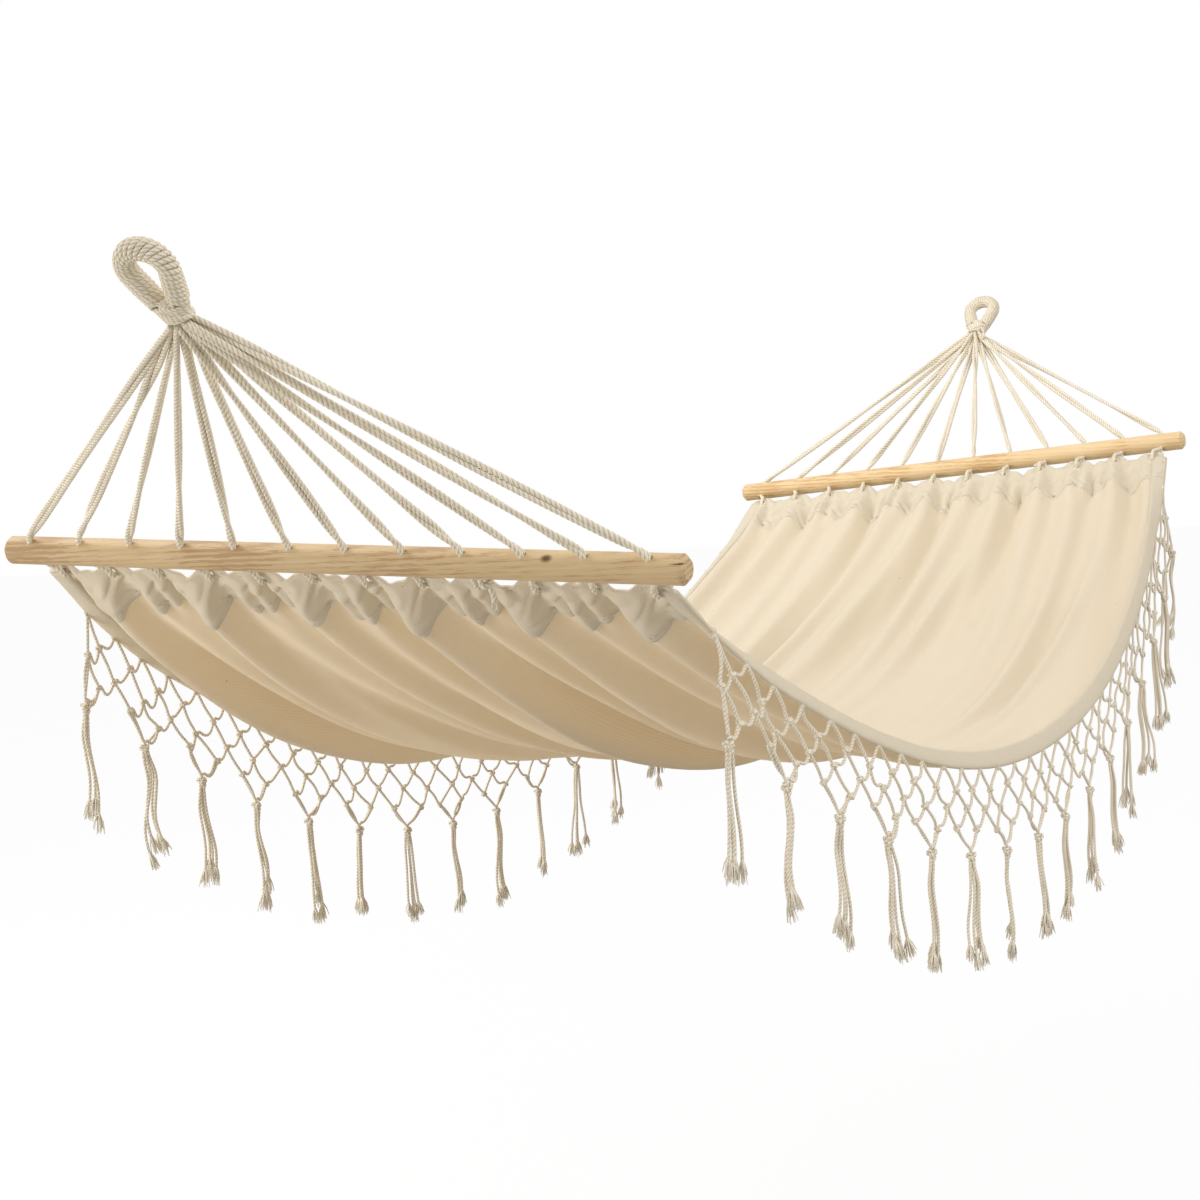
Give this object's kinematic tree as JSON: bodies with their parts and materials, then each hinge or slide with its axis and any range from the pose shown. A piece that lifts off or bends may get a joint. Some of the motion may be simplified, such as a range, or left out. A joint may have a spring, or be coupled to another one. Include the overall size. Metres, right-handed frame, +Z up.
{
  "type": "fringed hammock",
  "caption": "Cotton canvas hammock with wooden spreader bars, fanned clew cords to a whipped rope eye at each end, and knotted tassel fringes along both sides.",
  "frame": {"origin": "the point where a hook bears inside the crown of the head eye", "axes": "+X level along the hammock to the foot eye's bearing point, +Y to the left side seen from the head, +Z up"},
  "size_m": [2.4808, 0.88, 0.8781],
  "materials": {
    "canvas": "unbleached woven cotton canvas",
    "wood": "pale bare wood, lightly oiled",
    "clew_cord": "twisted cotton cord",
    "whipping_cord": "cotton cord wound tight",
    "fringe_cord": "twisted cotton cord, ends frayed"
  },
  "bodies": {
    "hanging_eyes": {"head_eye_core": "clew_cord", "head_eye_whipping": "whipping_cord", "head_eye_binding": "whipping_cord", "foot_eye_core": "clew_cord", "foot_eye_whipping": "whipping_cord", "foot_eye_binding": "whipping_cord"},
    "hammock": {"bed_panel": "canvas", "head_end_hem": "canvas", "foot_end_hem": "canvas", "left_side_hem": "canvas", "right_side_hem": "canvas", "head_spreader_bar": "wood", "foot_spreader_bar": "wood", "head_cord_bundle": "clew_cord", "foot_cord_bundle": "clew_cord", "head_clew_cords": "clew_cord", "foot_clew_cords": "clew_cord", "head_end_knot": "clew_cord", "foot_end_knot": "clew_cord", "left_fringe_net": "fringe_cord", "right_fringe_net": "fringe_cord"},
    "left_tassel_01": {"left_tassel_01": "fringe_cord"},
    "right_tassel_01": {"right_tassel_01": "fringe_cord"},
    "left_tassel_02": {"left_tassel_02": "fringe_cord"},
    "right_tassel_02": {"right_tassel_02": "fringe_cord"},
    "left_tassel_03": {"left_tassel_03": "fringe_cord"},
    "right_tassel_03": {"right_tassel_03": "fringe_cord"},
    "left_tassel_04": {"left_tassel_04": "fringe_cord"},
    "right_tassel_04": {"right_tassel_04": "fringe_cord"},
    "left_tassel_05": {"left_tassel_05": "fringe_cord"},
    "right_tassel_05": {"right_tassel_05": "fringe_cord"},
    "left_tassel_06": {"left_tassel_06": "fringe_cord"},
    "right_tassel_06": {"right_tassel_06": "fringe_cord"},
    "left_tassel_07": {"left_tassel_07": "fringe_cord"},
    "right_tassel_07": {"right_tassel_07": "fringe_cord"},
    "left_tassel_08": {"left_tassel_08": "fringe_cord"},
    "right_tassel_08": {"right_tassel_08": "fringe_cord"},
    "left_tassel_09": {"left_tassel_09": "fringe_cord"},
    "right_tassel_09": {"right_tassel_09": "fringe_cord"},
    "left_tassel_10": {"left_tassel_10": "fringe_cord"},
    "right_tassel_10": {"right_tassel_10": "fringe_cord"},
    "left_tassel_11": {"left_tassel_11": "fringe_cord"},
    "right_tassel_11": {"right_tassel_11": "fringe_cord"},
    "left_tassel_12": {"left_tassel_12": "fringe_cord"},
    "right_tassel_12": {"right_tassel_12": "fringe_cord"},
    "left_tassel_13": {"left_tassel_13": "fringe_cord"},
    "right_tassel_13": {"right_tassel_13": "fringe_cord"},
    "left_tassel_14": {"left_tassel_14": "fringe_cord"},
    "right_tassel_14": {"right_tassel_14": "fringe_cord"},
    "left_tassel_15": {"left_tassel_15": "fringe_cord"},
    "right_tassel_15": {"right_tassel_15": "fringe_cord"},
    "left_tassel_16": {"left_tassel_16": "fringe_cord"},
    "right_tassel_16": {"right_tassel_16": "fringe_cord"}
  },
  "joints": [
    {"name": "swing", "type": "hinge", "parent": "hanging_eyes", "child": "hammock", "pos_m": [1.222, 0, -0.06168], "axis": [1, 0, 0], "range_deg": [-30, 30]},
    {"name": "left_tassel_01_sway", "type": "hinge", "parent": "hammock", "child": "left_tassel_01", "pos_m": [0.3502, 0.40369, -0.44281], "axis": [1, 0, 0], "range_deg": [-35, 35]},
    {"name": "right_tassel_01_sway", "type": "hinge", "parent": "hammock", "child": "right_tassel_01", "pos_m": [2.0938, -0.40369, -0.44281], "axis": [1, 0, 0], "range_deg": [-35, 35]},
    {"name": "left_tassel_02_sway", "type": "hinge", "parent": "hammock", "child": "left_tassel_02", "pos_m": [0.45577, 0.41129, -0.5061], "axis": [1, 0, 0], "range_deg": [-35, 35]},
    {"name": "right_tassel_02_sway", "type": "hinge", "parent": "hammock", "child": "right_tassel_02", "pos_m": [1.98823, -0.41129, -0.5061], "axis": [1, 0, 0], "range_deg": [-35, 35]},
    {"name": "left_tassel_03_sway", "type": "hinge", "parent": "hammock", "child": "left_tassel_03", "pos_m": [0.56485, 0.41788, -0.56326], "axis": [1, 0, 0], "range_deg": [-35, 35]},
    {"name": "right_tassel_03_sway", "type": "hinge", "parent": "hammock", "child": "right_tassel_03", "pos_m": [1.87915, -0.41788, -0.56326], "axis": [1, 0, 0], "range_deg": [-35, 35]},
    {"name": "left_tassel_04_sway", "type": "hinge", "parent": "hammock", "child": "left_tassel_04", "pos_m": [0.67735, 0.42333, -0.61347], "axis": [1, 0, 0], "range_deg": [-35, 35]},
    {"name": "right_tassel_04_sway", "type": "hinge", "parent": "hammock", "child": "right_tassel_04", "pos_m": [1.76665, -0.42333, -0.61347], "axis": [1, 0, 0], "range_deg": [-35, 35]},
    {"name": "left_tassel_05_sway", "type": "hinge", "parent": "hammock", "child": "left_tassel_05", "pos_m": [0.79308, 0.4275, -0.65583], "axis": [1, 0, 0], "range_deg": [-35, 35]},
    {"name": "right_tassel_05_sway", "type": "hinge", "parent": "hammock", "child": "right_tassel_05", "pos_m": [1.65092, -0.4275, -0.65583], "axis": [1, 0, 0], "range_deg": [-35, 35]},
    {"name": "left_tassel_06_sway", "type": "hinge", "parent": "hammock", "child": "left_tassel_06", "pos_m": [0.91167, 0.43027, -0.68948], "axis": [1, 0, 0], "range_deg": [-35, 35]},
    {"name": "right_tassel_06_sway", "type": "hinge", "parent": "hammock", "child": "right_tassel_06", "pos_m": [1.53233, -0.43027, -0.68948], "axis": [1, 0, 0], "range_deg": [-35, 35]},
    {"name": "left_tassel_07_sway", "type": "hinge", "parent": "hammock", "child": "left_tassel_07", "pos_m": [1.03259, 0.43153, -0.71361], "axis": [1, 0, 0], "range_deg": [-35, 35]},
    {"name": "right_tassel_07_sway", "type": "hinge", "parent": "hammock", "child": "right_tassel_07", "pos_m": [1.41141, -0.43153, -0.71361], "axis": [1, 0, 0], "range_deg": [-35, 35]},
    {"name": "left_tassel_08_sway", "type": "hinge", "parent": "hammock", "child": "left_tassel_08", "pos_m": [1.15509, 0.43119, -0.72758], "axis": [1, 0, 0], "range_deg": [-35, 35]},
    {"name": "right_tassel_08_sway", "type": "hinge", "parent": "hammock", "child": "right_tassel_08", "pos_m": [1.28891, -0.43119, -0.72758], "axis": [1, 0, 0], "range_deg": [-35, 35]},
    {"name": "left_tassel_09_sway", "type": "hinge", "parent": "hammock", "child": "left_tassel_09", "pos_m": [1.27833, 0.42921, -0.73099], "axis": [1, 0, 0], "range_deg": [-35, 35]},
    {"name": "right_tassel_09_sway", "type": "hinge", "parent": "hammock", "child": "right_tassel_09", "pos_m": [1.16567, -0.42921, -0.73099], "axis": [1, 0, 0], "range_deg": [-35, 35]},
    {"name": "left_tassel_10_sway", "type": "hinge", "parent": "hammock", "child": "left_tassel_10", "pos_m": [1.40136, 0.42559, -0.72375], "axis": [1, 0, 0], "range_deg": [-35, 35]},
    {"name": "right_tassel_10_sway", "type": "hinge", "parent": "hammock", "child": "right_tassel_10", "pos_m": [1.04264, -0.42559, -0.72375], "axis": [1, 0, 0], "range_deg": [-35, 35]},
    {"name": "left_tassel_11_sway", "type": "hinge", "parent": "hammock", "child": "left_tassel_11", "pos_m": [1.52328, 0.42038, -0.70609], "axis": [1, 0, 0], "range_deg": [-35, 35]},
    {"name": "right_tassel_11_sway", "type": "hinge", "parent": "hammock", "child": "right_tassel_11", "pos_m": [0.92072, -0.42038, -0.70609], "axis": [1, 0, 0], "range_deg": [-35, 35]},
    {"name": "left_tassel_12_sway", "type": "hinge", "parent": "hammock", "child": "left_tassel_12", "pos_m": [1.64327, 0.41369, -0.6785], "axis": [1, 0, 0], "range_deg": [-35, 35]},
    {"name": "right_tassel_12_sway", "type": "hinge", "parent": "hammock", "child": "right_tassel_12", "pos_m": [0.80073, -0.41369, -0.6785], "axis": [1, 0, 0], "range_deg": [-35, 35]},
    {"name": "left_tassel_13_sway", "type": "hinge", "parent": "hammock", "child": "left_tassel_13", "pos_m": [1.76069, 0.40563, -0.64171], "axis": [1, 0, 0], "range_deg": [-35, 35]},
    {"name": "right_tassel_13_sway", "type": "hinge", "parent": "hammock", "child": "right_tassel_13", "pos_m": [0.68331, -0.40563, -0.64171], "axis": [1, 0, 0], "range_deg": [-35, 35]},
    {"name": "left_tassel_14_sway", "type": "hinge", "parent": "hammock", "child": "left_tassel_14", "pos_m": [1.87506, 0.39635, -0.59657], "axis": [1, 0, 0], "range_deg": [-35, 35]},
    {"name": "right_tassel_14_sway", "type": "hinge", "parent": "hammock", "child": "right_tassel_14", "pos_m": [0.56894, -0.39635, -0.59657], "axis": [1, 0, 0], "range_deg": [-35, 35]},
    {"name": "left_tassel_15_sway", "type": "hinge", "parent": "hammock", "child": "left_tassel_15", "pos_m": [1.9861, 0.38598, -0.54394], "axis": [1, 0, 0], "range_deg": [-35, 35]},
    {"name": "right_tassel_15_sway", "type": "hinge", "parent": "hammock", "child": "right_tassel_15", "pos_m": [0.4579, -0.38598, -0.54394], "axis": [1, 0, 0], "range_deg": [-35, 35]},
    {"name": "left_tassel_16_sway", "type": "hinge", "parent": "hammock", "child": "left_tassel_16", "pos_m": [2.09367, 0.37466, -0.4847], "axis": [1, 0, 0], "range_deg": [-35, 35]},
    {"name": "right_tassel_16_sway", "type": "hinge", "parent": "hammock", "child": "right_tassel_16", "pos_m": [0.35033, -0.37466, -0.4847], "axis": [1, 0, 0], "range_deg": [-35, 35]}
  ]
}
